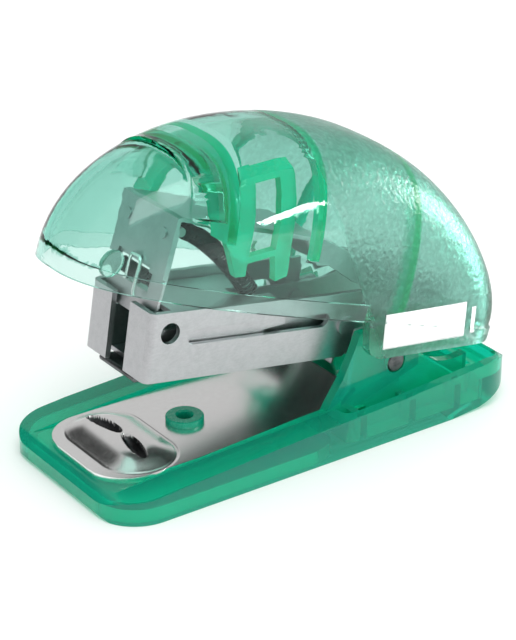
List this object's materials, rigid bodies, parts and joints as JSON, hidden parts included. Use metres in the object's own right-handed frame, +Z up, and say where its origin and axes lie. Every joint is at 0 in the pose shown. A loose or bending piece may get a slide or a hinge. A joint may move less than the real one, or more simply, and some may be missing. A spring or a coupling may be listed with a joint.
{
  "type": "stapler",
  "caption": "Small desk stapler with a translucent domed handle, steel magazine, spring-pulled staple pusher, driver blade and a base with a pressed steel anvil.",
  "frame": {"origin": "on the table, under the middle of the stapler's bounding box at rest", "axes": "+X from the mouth to the hinge, +Y across, +Z up"},
  "size_m": [0.067, 0.0306, 0.0455],
  "materials": {
    "base_green": "translucent deep green plastic, glossy",
    "cover_green": "translucent mint green plastic, clear at the nose and frosted at the rear",
    "pressed_steel": "satin rolled steel sheet",
    "bright_plate": "bright plated steel",
    "spring_black": "blackened spring wire"
  },
  "bodies": {
    "base": {"base_shell": "base_green", "base_plate": "bright_plate", "plate_boss": "base_green", "pivot_pin": "pressed_steel", "pivot_bushes": "base_green", "return_spring": "bright_plate", "leaf_rivet": "pressed_steel"},
    "magazine": {"magazine_channel": "pressed_steel", "staple_rail": "pressed_steel", "rail_shoe": "pressed_steel", "channel_rivets": "pressed_steel", "handle_pin": "pressed_steel"},
    "pusher": {"pusher": "pressed_steel", "pusher_peg": "pressed_steel", "pusher_spring": "spring_black"},
    "handle": {"cover": "cover_green", "spring_guard": "cover_green", "carrier_arm": "pressed_steel", "driver_blade": "pressed_steel", "blade_rivets": "pressed_steel", "spring_peg": "pressed_steel", "foot_coil": "spring_black", "foot_peg": "pressed_steel"}
  },
  "joints": [
    {"name": "magazine_hinge", "type": "hinge", "parent": "base", "child": "magazine", "pos_m": [0.014, 0, 0.0094], "axis": [0, 1, 0], "range_deg": [-13.5, 0], "stiffness_Nm_per_rad": 0.09, "springref_deg": 14.32, "deforming": ["return_spring"]},
    {"name": "pusher_slide", "type": "slide", "parent": "magazine", "child": "pusher", "axis": [0.9874, 0, -0.1582], "range_m": [0, 0.0078], "stiffness_N_per_m": 60, "springref_m": -0.01, "deforming": ["pusher_spring"]},
    {"name": "handle_hinge", "type": "hinge", "parent": "magazine", "child": "handle", "pos_m": [0.0244, 0, 0.0156], "axis": [0, 1, 0], "range_deg": [-9, 72], "stiffness_Nm_per_rad": 0.12, "springref_deg": 1.83}
  ]
}
